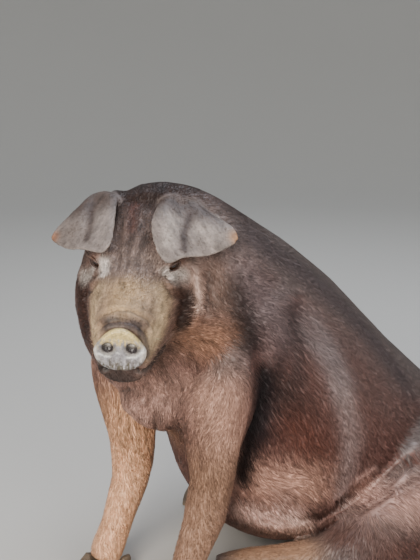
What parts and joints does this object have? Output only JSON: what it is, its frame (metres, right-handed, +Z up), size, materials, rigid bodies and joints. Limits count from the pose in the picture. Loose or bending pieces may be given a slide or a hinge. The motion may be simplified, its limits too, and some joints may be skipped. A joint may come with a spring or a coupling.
{
  "type": "sitting duroc pig",
  "caption": "Life-size red-brown duroc pig sitting on its haunches with straight forelegs, drooping ears and its head turned to its left.",
  "frame": {"origin": "middle of the underside of the bounding box, at floor level", "axes": "+Z up, -Y the way the body faces, +X to the pig's left, so the tail is towards +Y"},
  "size_m": [0.6758, 1.2338, 0.7913],
  "materials": {
    "red_coat": "short red-brown hair over skin",
    "dark_coat": "short dark brown hair with a soft sheen",
    "leg_coat": "sparse tan hair over pinkish skin",
    "ear_skin": "matt grey-brown ear skin",
    "snout_skin": "bare, slightly damp grey-pink skin",
    "hoof_horn": "dull grey-brown horn",
    "eye_dark": "wet and dark"
  },
  "bodies": {
    "root": {"belly": "red_coat", "chest": "red_coat", "dewclaw_fore_left_inner": "hoof_horn", "dewclaw_fore_left_outer": "hoof_horn", "dewclaw_fore_right_inner": "hoof_horn", "dewclaw_fore_right_outer": "hoof_horn", "dewclaw_hind_left_inner": "hoof_horn", "dewclaw_hind_left_outer": "hoof_horn", "dewclaw_hind_right_inner": "hoof_horn", "dewclaw_hind_right_outer": "hoof_horn", "ear_left": "ear_skin", "ear_right": "ear_skin", "eye_left": "eye_dark", "eye_right": "eye_dark", "foreleg_left_lower": "leg_coat", "foreleg_left_upper": "leg_coat", "foreleg_right_lower": "leg_coat", "foreleg_right_upper": "leg_coat", "head": "red_coat", "hindleg_left_foot": "leg_coat", "hindleg_left_thigh": "leg_coat", "hindleg_right_foot": "leg_coat", "hindleg_right_thigh": "leg_coat", "hoof_fore_left_inner": "hoof_horn", "hoof_fore_left_outer": "hoof_horn", "hoof_fore_right_inner": "hoof_horn", "hoof_fore_right_outer": "hoof_horn", "hoof_hind_left_inner": "hoof_horn", "hoof_hind_left_outer": "hoof_horn", "hoof_hind_right_inner": "hoof_horn", "hoof_hind_right_outer": "hoof_horn", "jaw": "red_coat", "neck": "dark_coat", "rump": "dark_coat", "snout_disc": "snout_skin", "tail": "red_coat"}
  },
  "joints": []
}
